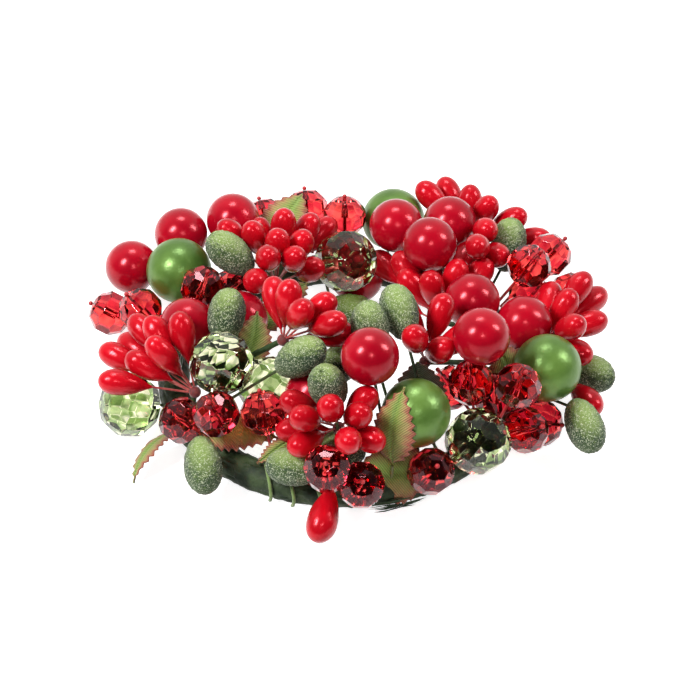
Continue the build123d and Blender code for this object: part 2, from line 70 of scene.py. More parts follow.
# Buds
bud_radius = 4.4 * millimetre
bud_rows = 54
bud_steps = 72
bud_shoulder_share = 0.08
bud_inset = 0.15 * millimetre
grain_depth = 0.16 * millimetre
grain_scale = 1900
spike_depth = 0.28 * millimetre
spike_power = 6

# Leaves
leaf_rows = 60
leaf_lines = 28
leaf_teeth = 10
leaf_outline_power = 0.8
leaf_tooth_share = 0.055
leaf_tooth_rise_share = 0.35
leaf_tip_share = 0.02
leaf_bend_share = 0.85
leaf_wall = 0.28 * millimetre
leaf_rib_depth = 0.35 * millimetre
leaf_rib_width_share = 0.10
leaf_vein_depth = 0.12 * millimetre
leaf_vein_count = 6
leaf_vein_slant = 0.7
leaf_flutter = 0.35 * millimetre
leaf_flutter_scale = 190
leaf_turns = {"leaf_left_low": math.radians(-24)}

# The torn end of the tape
tape_strands = 11
strand_sides = 6
strand_radius = 0.24 * millimetre
strand_flat_share = 0.5
strand_shares = [0.15, 0.7, 1.0, 0.9, 1.0, 0.8, 0.95, 0.6, 0.12]
strand_start_shares = (-0.05, 0.30)
strand_end_shares = (-0.35, 0.25)
strand_size_shares = (0.55, 1.25)
strand_lift = 0.35 * millimetre
strand_wave = 0.5 * millimetre
strand_wave_scale = 9

# Facets, knots and small round stock
knot_diameter = 2.8 * millimetre
facet_edge_width = 0.07 * millimetre
facet_edge_profile = 0.5
facet_least_area = millimetre ** 2
flat_angle = math.radians(2)
sharp_angle = math.radians(38)
random_seed = 11
merge_distance = 0.002 * millimetre
seam_distance = 0.0002 * millimetre

# Lacquered berries and pips: tones are linear red, green, blue and alpha, ripples are scale and depth
white = (1, 1, 1, 1)
lacquer_roughness = 0.22
lacquer_gloss = 0.8
lacquer_tint = (1, 0.20, 0.23, 1)
lacquer_patches = 120
berry_tones = [(0.34, 0.002, 0.011, 1), (0.24, 0.001, 0.008, 1)]
berry_ripple = (300, 0.08 * millimetre)
pip_tones = [(0.46, 0.003, 0.010, 1), (0.33, 0.002, 0.007, 1)]
pip_ripple = (700, 0.10 * millimetre)

# Pearl coat
pearl_metal = 0.1
pearl_roughness = 0.33
pearl_gloss = 1.0
pearl_tint = (0.56, 0.85, 0.34, 1)
pearl_patches = 140
pearl_tones = [(0.088, 0.165, 0.03, 1), (0.05, 0.105, 0.018, 1)]
pearl_ripple = (900, 0.08 * millimetre)

# Cut acrylic: a pale tone, painted reflection on some facets, and the acrylic's own deep tone, and where one
# turns into the other
acrylic_roughness = 0.02
acrylic_ior = 1.52
facet_patches = 90
facet_tone_scale = 2.6
facet_tone_detail = 1
bead_painted_glint_and_body_tones = [(0.84, 0.07, 0.06, 1), (0.40, 0.006, 0.018, 1)]
bead_glint_to_body_shares = (0.42, 0.58)
bead_tint = (1, 0.45, 0.5, 1)
crystal_painted_glint_and_body_tones = [(0.96, 0.97, 0.66, 1), (0.15, 0.25, 0.06, 1)]
crystal_glint_to_body_shares = (0.46, 0.54)
crystal_tint = (0.95, 1, 0.9, 1)

# Sugar coat of the buds
sugar_roughness = 0.5
sugar_sheen = 0.10
sugar_sheen_roughness = 0.25
sugar_patches = 190
sugar_tones = [(0.010, 0.040, 0.010, 1), (0.045, 0.09, 0.018, 1)]
# Painted light: the pale tone that upward-looking bud faces are painted towards, and the upward lean over
# which they turn to it
painted_top_light_tone = (0.34, 0.48, 0.12, 1)
painted_top_light_shares = (0.45, 1.15)
speck_tone = (0.62, 0.68, 0.46, 1)
speck_shares = (0.78, 0.92)
speck_roughnesses = (0.6, 0.12)
speck_scale = 5600
speck_depth = 0.30 * millimetre

# Leaf cloth: tones of the middle, the edge and the rust brown rim
cloth_roughness = 0.62
cloth_sheen = 0.25
cloth_sheen_roughness = 0.5
cloth_patches = 260
cloth_patch_detail = 3
cloth_wander = 0.5
cloth_edge_shares = (0.40, 0.95)
cloth_rust_shares = (0.88, 1.15)
cloth_rib_scale = 0.95
cloth_rib_waver = 0.5
cloth_rib_shades = (0.55, 1.2)
cloth_rib_depth = 0.08 * millimetre
leaf_tones = [(0.17, 0.26, 0.035, 1), (0.30, 0.20, 0.06, 1), (0.26, 0.06, 0.025, 1)]
leaf_back_tones = [(0.055, 0.068, 0.018, 1), (0.08, 0.052, 0.02, 1), (0.12, 0.038, 0.015, 1)]

# Crepe tape, stems and stalks
crepe_roughness = 0.55
crepe_gloss = 0.2
crepe_patches = 240
crepe_ripple = (1300, 0.35 * millimetre)
tape_tones = [(0.010, 0.020, 0.008, 1), (0.042, 0.064, 0.026, 1)]
tape_end_tones = [(0.03, 0.055, 0.022, 1), (0.015, 0.03, 0.012, 1)]
stem_tones = [(0.03, 0.045, 0.02, 1), (0.05, 0.06, 0.03, 1)]
stalk_tones = [(0.014, 0.032, 0.010, 1), (0.03, 0.055, 0.018, 1)]

# Threads
thread_roughness = 0.7
thread_sheen = 0.3
thread_patches = 900
thread_ripple = (3000, 0.10 * millimetre)
knot_tones = [(0.16, 0.006, 0.008, 1), (0.07, 0.008, 0.006, 1)]
binding_tones = [(0.16, 0.24, 0.06, 1), (0.10, 0.17, 0.04, 1)]
pip_thread_tones = [(0.30, 0.012, 0.014, 1), (0.38, 0.08, 0.06, 1)]

# Wires, and the node whose wires have a finish apart from their slot
own_finishes = {"leaf_wires": "leaf_wire"}
wire_roughness = 0.42
wire_patches = 300
wire_ripple = (1200, 0.04 * millimetre)
wire_tones = [(0.02, 0.04, 0.012, 1), (0.04, 0.07, 0.02, 1)]
leaf_wire_tones = [(0.09, 0.12, 0.02, 1), (0.12, 0.10, 0.025, 1)]
bead_wire_tones = [(0.40, 0.01, 0.012, 1), (0.28, 0.006, 0.01, 1)]
steel_roughness = 0.35
steel_patches = 500
steel_tones = [(0.52, 0.52, 0.54, 1), (0.42, 0.42, 0.44, 1)]

# Shared node groups, and the colour sockets of a mix node
mottle_shares = (0.35, 0.65)
ripple_detail = 4
mix_first = 6
mix_second = 7
mix_result = 2

# Camera of the photograph, which is 700 pixels square
sensor_width_mm = 36
lens_pixels = 2604
photo_pixels = 700
camera_tilt = math.radians(40)
camera_distance_share = 15.3
camera_target_shares = (0.03, 0.13, 0.155)

# Studio
floor_size = 3.0
floor_colour = (0.62, 0.62, 0.62, 1)
floor_roughness = 0.9
floor_glow = 0.86
studio_grey = 0.10
front_dark = 0.05
backdrop_white = 1.0
backdrop_edges = (-0.25, 0.35)
# Each lamp: its name, place, width and height in metres, and power in watts
lamps = [
    ("key_lamp", (-0.34, -0.20, 0.46), 0.12, 0.23, 4.8),
    ("front_lamp", (0.06, -0.40, 0.40), 0.10, 0.10, 0.5),
    ("side_lamp", (0.42, 0.02, 0.34), 0.10, 0.22, 1.6),
    ("top_lamp", (-0.02, 0.22, 0.56), 0.22, 0.14, 1.6),
]

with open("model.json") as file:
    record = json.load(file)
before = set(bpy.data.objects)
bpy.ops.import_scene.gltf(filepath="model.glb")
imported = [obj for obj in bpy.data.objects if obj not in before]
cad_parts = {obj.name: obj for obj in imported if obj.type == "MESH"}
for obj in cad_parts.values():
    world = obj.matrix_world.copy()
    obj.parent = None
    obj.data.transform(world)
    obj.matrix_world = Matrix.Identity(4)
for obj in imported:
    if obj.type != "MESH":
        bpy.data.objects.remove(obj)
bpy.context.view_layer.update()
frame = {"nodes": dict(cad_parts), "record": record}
chance = random.Random(random_seed)


# Node groups

def new_group(name, inputs, outputs):
    """A shader group with its sockets; returns it with its input and output nodes."""
    group = bpy.data.node_groups.new(name, "ShaderNodeTree")
    for label, kind in inputs:
        group.interface.new_socket(name=label, in_out="INPUT", socket_type=kind)
    for label, kind in outputs:
        group.interface.new_socket(name=label, in_out="OUTPUT", socket_type=kind)
    return group, group.nodes.new("NodeGroupInput"), group.nodes.new("NodeGroupOutput")


def mottle_group():
    """Two colours mixed in soft patches."""
    group, given, result = new_group(
        "mottle",
        [("Vector", "NodeSocketVector"), ("Scale", "NodeSocketFloat"),
         ("Colour", "NodeSocketColor"), ("Other", "NodeSocketColor")],
        [("Colour", "NodeSocketColor"), ("Mask", "NodeSocketFloat")],
    )
    cloud = group.nodes.new("ShaderNodeTexNoise")
    spread = group.nodes.new("ShaderNodeMapRange")
    blend = group.nodes.new("ShaderNodeMix")
    blend.data_type = "RGBA"
    spread.inputs["From Min"].default_value, spread.inputs["From Max"].default_value = mottle_shares
    group.links.new(given.outputs["Vector"], cloud.inputs["Vector"])
    group.links.new(given.outputs["Scale"], cloud.inputs["Scale"])
    group.links.new(cloud.outputs["Fac"], spread.inputs["Value"])
    group.links.new(spread.outputs["Result"], blend.inputs["Factor"])
    group.links.new(given.outputs["Colour"], blend.inputs[mix_first])
    group.links.new(given.outputs["Other"], blend.inputs[mix_second])
    group.links.new(blend.outputs[mix_result], result.inputs["Colour"])
    group.links.new(spread.outputs["Result"], result.inputs["Mask"])
    return group


def ripple_group():
    """A surface normal with fine uneven ripples."""
    group, given, result = new_group(
        "ripple",
        [("Vector", "NodeSocketVector"), ("Scale", "NodeSocketFloat"), ("Depth", "NodeSocketFloat")],
        [("Normal", "NodeSocketVector")],
    )
    cloud = group.nodes.new("ShaderNodeTexNoise")
    cloud.inputs["Detail"].default_value = ripple_detail
    bump = group.nodes.new("ShaderNodeBump")
    group.links.new(given.outputs["Vector"], cloud.inputs["Vector"])
    group.links.new(given.outputs["Scale"], cloud.inputs["Scale"])
    group.links.new(cloud.outputs["Fac"], bump.inputs["Height"])
    group.links.new(given.outputs["Depth"], bump.inputs["Distance"])
    group.links.new(bump.outputs["Normal"], result.inputs["Normal"])
    return group


def sugar_group():
    """Grains of sugar: a mask of bright specks, and a grainy normal."""
    group, given, result = new_group(
        "sugar",
        [("Vector", "NodeSocketVector"), ("Scale", "NodeSocketFloat"), ("Depth", "NodeSocketFloat")],
        [("Specks", "NodeSocketFloat"), ("Normal", "NodeSocketVector")],
    )
    grains = group.nodes.new("ShaderNodeTexVoronoi")
    pick = group.nodes.new("ShaderNodeSeparateColor")
    specks = group.nodes.new("ShaderNodeMapRange")
    specks.inputs["From Min"].default_value, specks.inputs["From Max"].default_value = speck_shares
    bump = group.nodes.new("ShaderNodeBump")
    group.links.new(given.outputs["Vector"], grains.inputs["Vector"])
    group.links.new(given.outputs["Scale"], grains.inputs["Scale"])
    group.links.new(grains.outputs["Color"], pick.inputs["Color"])
    group.links.new(pick.outputs["Red"], specks.inputs["Value"])
    group.links.new(grains.outputs["Distance"], bump.inputs["Height"])
    group.links.new(given.outputs["Depth"], bump.inputs["Distance"])
    group.links.new(specks.outputs["Result"], result.inputs["Specks"])
    group.links.new(bump.outputs["Normal"], result.inputs["Normal"])
    return group


groups = {"mottle": mottle_group(), "ripple": ripple_group(), "sugar": sugar_group()}


# Materials

class Finish:
    """One procedural material, built round its Principled shader."""

    def __init__(self, name, **plain):
        self.material = bpy.data.materials.new(name)
        self.material.use_nodes = True
        self.nodes = self.material.node_tree.nodes
        self.links = self.material.node_tree.links
        self.shader = self.nodes["Principled BSDF"]
        for label, value in plain.items():
            self.shader.inputs[label.replace("_", " ").title().replace("Ior", "IOR")].default_value = value
        self.place = self.nodes.new("ShaderNodeTexCoord").outputs["Object"]

    def node(self, kind, **given):
        """A node; each given value or output goes to the input of that name."""
        made = self.nodes.new(kind)
        for label, value in given.items():
            self.feed(made.inputs[label.replace("_", " ")], value)
        return made

    def feed(self, socket, value):
        """Links an output to the socket, or sets the socket to a plain value."""
        if isinstance(value, bpy.types.NodeSocket):
            self.links.new(value, socket)
        else:
            socket.default_value = value

    def group(self, name, **given):
        """A shared group; each given value or output goes to the input of that name."""
        made = self.nodes.new("ShaderNodeGroup")
        made.node_tree = groups[name]
        for label, value in given.items():
            self.feed(made.inputs[label], value)
        return made

    def mix(self, share, first, second):
        """The first colour, turned into the second by the share."""
        made = self.nodes.new("ShaderNodeMix")
        made.data_type = "RGBA"
        self.feed(made.inputs["Factor"], share)
        self.feed(made.inputs[mix_first], first)
        self.feed(made.inputs[mix_second], second)
        return made.outputs[mix_result]

    def spread(self, value, low, high, to_low=0.0, to_high=1.0):
        """The value, stretched from one range to another and held within it."""
        made = self.node("ShaderNodeMapRange", Value=value)
        for label, number in (("From Min", low), ("From Max", high), ("To Min", to_low), ("To Max", to_high)):
            made.inputs[label].default_value = number
        return made.outputs["Result"]

    def mottled(self, scale, tones):
        """Two tones in soft patches."""
        made = self.group("mottle", Vector=self.place, Scale=scale, Colour=tones[0], Other=tones[1])
        return made.outputs["Colour"]

    def rippled(self, scale, depth):
        """Gives the surface fine uneven ripples."""
        made = self.group("ripple", Vector=self.place, Scale=scale, Depth=depth)
        self.links.new(made.outputs["Normal"], self.shader.inputs["Normal"])

    def colour(self, value):
        self.feed(self.shader.inputs["Base Color"], value)


def glossy_red(name, tones, ripple):
    """Lacquered red with slightly uneven gloss."""
    finish = Finish(name, roughness=lacquer_roughness, specular_ior_level=lacquer_gloss,
                    specular_tint=lacquer_tint)
    finish.colour(finish.mottled(lacquer_patches, tones))
    finish.rippled(*ripple)
    return finish.material


def pearl_green():
    """Satin pearl coat: green under a broad soft shine."""
    finish = Finish("pearl_green", metallic=pearl_metal, roughness=pearl_roughness,
                    specular_ior_level=pearl_gloss, specular_tint=pearl_tint)
    finish.colour(finish.mottled(pearl_patches, pearl_tones))
    finish.rippled(*pearl_ripple)
    return finish.material


def cut_glass(name, tones, glint_to_body_shares, tint):
    """Clear coloured acrylic: each flat facet has a tone of its own, from a pale painted reflection to the
    acrylic's own deep colour.
    """
    finish = Finish(name, roughness=acrylic_roughness, transmission_weight=1.0, ior=acrylic_ior,
                    specular_tint=tint)
    facing = finish.node("ShaderNodeNewGeometry").outputs["True Normal"]
    patch = finish.node("ShaderNodeVectorMath", Vector=finish.place)
    patch.operation = "SCALE"
    patch.inputs["Scale"].default_value = facet_patches
    turned = finish.nodes.new("ShaderNodeVectorMath")
    turned.operation = "ADD"
    finish.links.new(facing, turned.inputs[0])
    finish.links.new(patch.outputs["Vector"], turned.inputs[1])
    cloud = finish.node("ShaderNodeTexNoise", Vector=turned.outputs["Vector"], Scale=facet_tone_scale,
                        Detail=facet_tone_detail)
    # Painted reflection: facets picked by their facing and place are painted the pale tone, as if catching
    # the lamps; the others keep the acrylic's deep tone
    finish.colour(finish.mix(finish.spread(cloud.outputs["Fac"], *glint_to_body_shares), *tones))
    return finish.material


def sugared_green():
    """Green foam rolled in fine sugar, with painted light: paler on the faces that look upward."""
    finish = Finish("sugared_green", roughness=sugar_roughness, sheen_weight=sugar_sheen,
                    sheen_roughness=sugar_sheen_roughness)
    coat = finish.mottled(sugar_patches, sugar_tones)
    facing = finish.node("ShaderNodeNewGeometry").outputs["Normal"]
    upward = finish.node("ShaderNodeSeparateXYZ", Vector=facing).outputs["Z"]
    # Painted light: faces that look upward are painted paler, as if lit from above
    top_lit = finish.mix(finish.spread(upward, *painted_top_light_shares), coat, painted_top_light_tone)
    sugar = finish.group("sugar", Vector=finish.place, Scale=speck_scale, Depth=speck_depth)
    finish.colour(finish.mix(sugar.outputs["Specks"], top_lit, speck_tone))
    roughness = finish.spread(sugar.outputs["Specks"], 0, 1, *speck_roughnesses)
    finish.links.new(roughness, finish.shader.inputs["Roughness"])
    finish.links.new(sugar.outputs["Normal"], finish.shader.inputs["Normal"])
    return finish.material


def leaf_cloth(name, tones):
    """Ribbed cloth, green along the middle and rust brown at the edge."""
    middle, edge, rust = tones
    finish = Finish(name, roughness=cloth_roughness, sheen_weight=cloth_sheen,
                    sheen_roughness=cloth_sheen_roughness)
    spot = finish.node("ShaderNodeUVMap")
    spot.uv_map = "leaf"
    apart = finish.node("ShaderNodeSeparateXYZ", Vector=spot.outputs["UV"])
    cloud = finish.node("ShaderNodeTexNoise", Vector=finish.place, Scale=cloth_patches,
                        Detail=cloth_patch_detail)
    wander = finish.node("ShaderNodeMath", Value=cloud.outputs["Fac"])
    wander.operation = "MULTIPLY_ADD"
    wander.inputs[1].default_value = cloth_wander
    finish.links.new(apart.outputs["Y"], wander.inputs[2])
    toned = finish.mix(finish.spread(wander.outputs["Value"], *cloth_edge_shares), middle, edge)
    toned = finish.mix(finish.spread(wander.outputs["Value"], *cloth_rust_shares), toned, rust)
    threads = finish.node("ShaderNodeUVMap")
    threads.uv_map = "threads"
    ribs = finish.node("ShaderNodeTexWave", Vector=threads.outputs["UV"], Scale=cloth_rib_scale,
                       Distortion=cloth_rib_waver)
    ribs.bands_direction = "DIAGONAL"
    shade = finish.spread(ribs.outputs["Fac"], 0, 1, *cloth_rib_shades)
    shaded = finish.node("ShaderNodeVectorMath", Vector=toned)
    shaded.operation = "SCALE"
    finish.links.new(shade, shaded.inputs["Scale"])
    finish.colour(shaded.outputs["Vector"])
    bump = finish.node("ShaderNodeBump", Height=ribs.outputs["Fac"], Distance=cloth_rib_depth)
    finish.links.new(bump.outputs["Normal"], finish.shader.inputs["Normal"])
    return finish.material


def crepe_tape(name, tones):
    """Waxed crepe paper tape with fine creases."""
    finish = Finish(name, roughness=crepe_roughness, specular_ior_level=crepe_gloss)
    finish.colour(finish.mottled(crepe_patches, tones))
    finish.rippled(*crepe_ripple)
    return finish.material


def spun_thread(name, tones):
    """Spun thread, uneven as its fibres are."""
    finish = Finish(name, roughness=thread_roughness, sheen_weight=thread_sheen)
    finish.colour(finish.mottled(thread_patches, tones))
    finish.rippled(*thread_ripple)
    return finish.material


def coated_wire(name, tones):
    """Wire in a thin coat of paint."""
    finish = Finish(name, roughness=wire_roughness)
    finish.colour(finish.mottled(wire_patches, tones))
    finish.rippled(*wire_ripple)
    return finish.material


def drawn_steel():
    """Bare steel wire."""
    finish = Finish("drawn_steel", metallic=1.0, roughness=steel_roughness)
    finish.colour(finish.mottled(steel_patches, steel_tones))
    return finish.material


finishes = {
    "berry": glossy_red("berry_lacquer", berry_tones, berry_ripple),
    "pip": glossy_red("pip_lacquer", pip_tones, pip_ripple),
    "pearl": pearl_green(),
    "bead": cut_glass("bead_red", bead_painted_glint_and_body_tones, bead_glint_to_body_shares, bead_tint),
    "crystal": cut_glass("crystal_green", crystal_painted_glint_and_body_tones, crystal_glint_to_body_shares, crystal_tint),
    "bud": sugared_green(),
    "leaf": leaf_cloth("leaf_face", leaf_tones),
    "leaf_back": leaf_cloth("leaf_underside", leaf_back_tones),
    "tape": crepe_tape("tape_green", tape_tones),
    "tape_end": crepe_tape("tape_end_green", tape_end_tones),
    "stem": crepe_tape("stem_brown", stem_tones),
    "stalk": crepe_tape("stalk_green", stalk_tones),
    "knot": spun_thread("knot_thread_red", knot_tones),
    "thread": spun_thread("binding_thread_green", binding_tones),
    "pip_thread": spun_thread("pip_thread_red", pip_thread_tones),
    "wire": coated_wire("wire_green", wire_tones),
    "leaf_wire": coated_wire("wire_leaf_green", leaf_wire_tones),
    "bead_wire": coated_wire("wire_red", bead_wire_tones),
    "hoop_steel": drawn_steel(),
}


# Shapes

def joined_copy(node):
    """A bmesh of a CAD node, with its loose triangles joined up."""
    bm = bmesh.new()
    bm.from_mesh(frame["nodes"][node].data)
    bmesh.ops.remove_doubles(bm, verts=bm.verts, dist=seam_distance)
    return bm


def solids_of(node):
    """The points of each separate solid of a CAD node."""
    bm = joined_copy(node)
    for vert in bm.verts:
        vert.tag = False
    found = []
    for seed in bm.verts:
        if seed.tag:
            continue
        seed.tag = True
        solid = [seed]
        for vert in solid:
            for edge in vert.link_edges:
                other = edge.other_vert(vert)
                if not other.tag:
                    other.tag = True
                    solid.append(other)
        found.append([vert.co.copy() for vert in solid])
    bm.free()
    return found


def corners(points):
    """The lowest and highest corner of the box round the points."""
    low = Vector([min(point[axis] for point in points) for axis in range(3)])
    high = Vector([max(point[axis] for point in points) for axis in range(3)])
    return low, high


def mean(points):
    return sum(points, Vector()) / len(points)


def far_ends(points):
    """The two ends of a long solid."""
    centre = mean(points)
    first = max(points, key=lambda point: (point - centre).length)
    second = max(points, key=lambda point: (point - first).length)
    return first, second


def turned_to(direction, centre):
    """A matrix that stands +Z along the direction, at the centre."""
    turn = Vector((0, 0, 1)).rotation_difference(direction).to_matrix().to_4x4()
    return Matrix.Translation(centre) @ turn


def turned_shape(profile, steps, place):
    """A closed bmesh turned from a profile of reach and height pairs, in its place."""
    shape = bmesh.new()
    verts = [shape.verts.new((reach, 0, height)) for reach, height in profile]
    edges = [shape.edges.new(pair) for pair in zip(verts, verts[1:])]
    bmesh.ops.spin(shape, geom=verts + edges, cent=(0, 0, 0), axis=(0, 0, 1), angle=math.tau, steps=steps,
                   use_merge=True)
    bmesh.ops.remove_doubles(shape, verts=shape.verts, dist=merge_distance)
    bmesh.ops.recalc_face_normals(shape, faces=shape.faces)
    bmesh.ops.transform(shape, matrix=place, verts=shape.verts)
    shape.normal_update()
    return shape


def take_in(bm, shape):
    """Adds a finished shape to the bmesh of its piece."""
    mesh = bpy.data.meshes.new("shape")
    shape.to_mesh(mesh)
    shape.free()
    bm.from_mesh(mesh)
    bpy.data.meshes.remove(mesh)


def smooth_faces(bm):
    """Faces outwards and smooth, with hard edges only where the shape turns sharply."""
    bmesh.ops.recalc_face_normals(bm, faces=bm.faces)
    for face in bm.faces:
        face.smooth = True
    for edge in bm.edges:
        edge.smooth = not (len(edge.link_faces) == 2 and edge.calc_face_angle() > sharp_angle)


def add_piece(name, bm, material_slots, node):
    """Makes the bmesh a piece that stands for its CAD node and rides with it."""
    mesh = bpy.data.meshes.new(name)
    bm.to_mesh(mesh)
    bm.free()
    if "custom_normal" in mesh.attributes:
        mesh.attributes.remove(mesh.attributes["custom_normal"])
    piece = bpy.data.objects.new(name, mesh)
    bpy.context.scene.collection.objects.link(piece)
    for key in material_slots:
        mesh.materials.append(finishes[key])
    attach(piece, "root")
    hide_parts(node)
    return piece


def ball_profile(radius):
    """A ball from its lower pole to its upper one, drawn in round the hole of its wire."""
    profile = []
    for row in range(berry_rows + 1):
        angle = math.pi * row / berry_rows
        near = math.exp(-(angle / dimple_spread) ** 2)
        reach = radius * (1 - dimple_depth_share * near)
        profile.append((reach * math.sin(angle), -reach * math.cos(angle)))
    profile[0] = (0, profile[0][1])
    profile[-1] = (0, profile[-1][1])
    return profile


def make_balls(node, key):
    """Berries or pearls where the CAD balls are, their holes towards their wires."""
    bm = bmesh.new()
    for points in solids_of(node):
        low, high = corners(points)
        centre = (low + high) / 2
        radius = max(high - low) / 2
        inner = [point for point in points if (point - centre).length < radius * inner_share]
        up = (centre - mean(inner)).normalized()
        take_in(bm, turned_shape(ball_profile(radius), berry_steps, turned_to(up, centre)))
    smooth_faces(bm)
    add_piece(node + "_balls", bm, [key], node)


def bezier(stops, steps):
    """Places along a cubic curve, after its first stop."""
    first, second, third, last = (Vector(stop) for stop in stops)
    places = []
    for step in range(1, steps + 1):
        share = step / steps
        rest = 1 - share
        early = first.lerp(second, share).lerp(second.lerp(third, share), share)
        late = second.lerp(third, share).lerp(third.lerp(last, share), share)
        places.append(tuple(early * rest + late * share))
    return places


def pip_profile(length, size_share):
    """A drop with its nose up at the origin, and its thread down to the length."""
    radius = pip_radius * size_share
    nose = -pip_length * size_share * pip_nose_share
    tail = pip_length * size_share + nose
    neck = pip_thread_radius
    upper = [(0, 0), (radius * pip_foot_share, 0), (radius, nose / 2), (radius, nose)]
    waist, tied = nose - tail * pip_waist_share, nose - tail * pip_neck_share
    lower = [(radius, nose), (radius, waist), (neck, tied), (neck, nose - tail)]
    return [(0, 0)] + bezier(upper, pip_rows) + bezier(lower, pip_rows) + [(neck, -length), (0, -length)]


def make_pips(node):
    """Lacquered pips with their threads, where the CAD drops are."""
    bm = bmesh.new()
    size_share = pip_sizes_shares.get(node, 1.0)
    whole = pip_length * size_share
    for points in solids_of(node):
        first, second = far_ends(points)
        near_first = sum(1 for point in points if (point - first).length < whole)
        near_second = sum(1 for point in points if (point - second).length < whole)
        nose, end = (first, second) if near_first > near_second else (second, first)
        length = (end - nose).length
        place = turned_to((nose - end) / length, nose)
        drop = turned_shape(pip_profile(length, size_share), pip_steps, place)
        for vert in drop.verts:
            if (vert.co - nose).length < whole:
                vert.co += vert.normal * pip_uneven * noise.noise(vert.co * pip_uneven_scale)
        for face in drop.faces:
            reach = min((vert.co - nose).length for vert in face.verts)
            face.material_index = 1 if reach > whole * pip_paint_share else 0
        take_in(bm, drop)
    smooth_faces(bm)
    add_piece(node + "_drops", bm, ["pip", "pip_thread"], node)


def bud_profile(length):
    """An egg from its foot to its tip, widest a little above its middle."""
    profile = []
    for row in range(bud_rows + 1):
        angle = math.pi * row / bud_rows
        height = -math.cos(angle) / 2
        reach = math.sin(angle) * (1 + bud_shoulder_share * 2 * height)
        profile.append((reach * (bud_radius - bud_inset), height * (length - 2 * bud_inset)))
    profile[0] = (0, profile[0][1])
    profile[-1] = (0, profile[-1][1])
    return profile


def make_buds(node, wire_points):
    """Buds rolled in sugar: grains and single crystals stand out of the surface."""
    bm = bmesh.new()
    for points in solids_of(node):
        first, second = far_ends(points)
        centre = (first + second) / 2
        wire = min(wire_points, key=lambda point: (point - centre).length)
        foot, tip = (first, second) if (first - wire).length < (second - wire).length else (second, first)
        length = (tip - foot).length
        bud = turned_shape(bud_profile(length), bud_steps, turned_to((tip - foot) / length, centre))
        for vert in bud.verts:
            grain = grain_depth * noise.noise(vert.co * grain_scale)
            spike = spike_depth * chance.random() ** spike_power
            vert.co += vert.normal * min(grain + spike, bud_inset)
        take_in(bm, bud)
    smooth_faces(bm)
    add_piece(node + "_sugared", bm, ["bud"], node)


def make_cut_stones(node, key):
    """Faceted beads or crystals: flat facets with a fine polished edge between them."""
    bm = joined_copy(node)
    bmesh.ops.dissolve_limit(bm, angle_limit=flat_angle, verts=bm.verts, edges=bm.edges)
    bmesh.ops.recalc_face_normals(bm, faces=bm.faces)
    edges = [edge for edge in bm.edges if edge.calc_face_angle(0) > flat_angle]
    outer = [edge for edge in edges
             if min(face.calc_area() for face in edge.link_faces) > facet_least_area]
    bmesh.ops.bevel(bm, geom=outer, offset=facet_edge_width, segments=1, profile=facet_edge_profile,
                    affect="EDGES", material=-1)
    add_piece(node + "_cut", bm, [key], node)


def leaf_reach(share, width):
    """Half of the leaf's width, at a share of its length."""
    return width / 2 * math.sin(math.pi * share ** leaf_outline_power) ** leaf_outline_power


def toothed(share, length):
    """How far the edge draws in between two teeth."""
    phase = share * leaf_teeth % 1
    rising = phase < leaf_tooth_rise_share
    draw = phase / leaf_tooth_rise_share if rising else (1 - phase) / (1 - leaf_tooth_rise_share)
    return length * leaf_tooth_share * draw


def make_leaf(node, wire_points):
    """A cupped cloth leaf with a toothed edge, a pressed rib and side veins."""
    points = solids_of(node)[0]
    first, second = far_ends(points)
    wire = min(wire_points, key=lambda point: min((point - first).length, (point - second).length))
    base, tip = (first, second) if (first - wire).length < (second - wire).length else (second, first)
    length = (tip - base).length
    along = (tip - base) / length
    middle = (base + tip) / 2
    lean = mean(points) - middle
    back = (lean - along * lean.dot(along)).normalized()
    width = 2 * max(abs((point - middle).dot(back.cross(along))) for point in points)
    back = Matrix.Rotation(leaf_turns.get(node, 0), 3, along) @ back
    side = back.cross(along)
    bend = length * leaf_bend_share
    start = math.sqrt(bend ** 2 - length ** 2 / 4)

    bm = bmesh.new()
    bmesh.ops.create_grid(bm, x_segments=leaf_rows, y_segments=leaf_lines, size=1)
    tones = bm.loops.layers.uv.new("leaf")
    threads = bm.loops.layers.uv.new("threads")
    for vert in bm.verts:
        share, across = (vert.co.x + 1) / 2, vert.co.y
        reach = leaf_reach(min(max(share, 0), 1), width) - toothed(share, length)
        reach = max(reach, width * leaf_tip_share)
        run, out = (share - 0.5) * length, across * reach
        for loop in vert.link_loops:
            loop[tones].uv = (share, abs(across))
            loop[threads].uv = (run / millimetre, out / millimetre)
        rise = math.sqrt(max(bend ** 2 - run ** 2 - out ** 2, 0)) - start
        rib = math.exp(-(across / leaf_rib_width_share) ** 2)
        vein = math.sin(math.tau * leaf_vein_count * (share - abs(across) * reach / length * leaf_vein_slant))
        spot = middle + along * run + side * out
        flutter = noise.noise(spot * leaf_flutter_scale) * abs(across)
        rise += leaf_vein_depth * vein * (1 - rib) * abs(across) - leaf_rib_depth * rib
        vert.co = spot + back * (rise + leaf_flutter * flutter)
    bmesh.ops.remove_doubles(bm, verts=bm.verts, dist=merge_distance)
    bm.normal_update()
    if sum(face.normal.dot(back) for face in bm.faces) < 0:
        bmesh.ops.reverse_faces(bm, faces=bm.faces)
    for face in bm.faces:
        face.smooth = True
    piece = add_piece(node + "_cloth", bm, ["leaf", "leaf_back"], node)
    wall = piece.modifiers.new("wall", "SOLIDIFY")
    wall.thickness = leaf_wall
    wall.offset = -1
    wall.material_offset = 1
    wall.material_offset_rim = 0


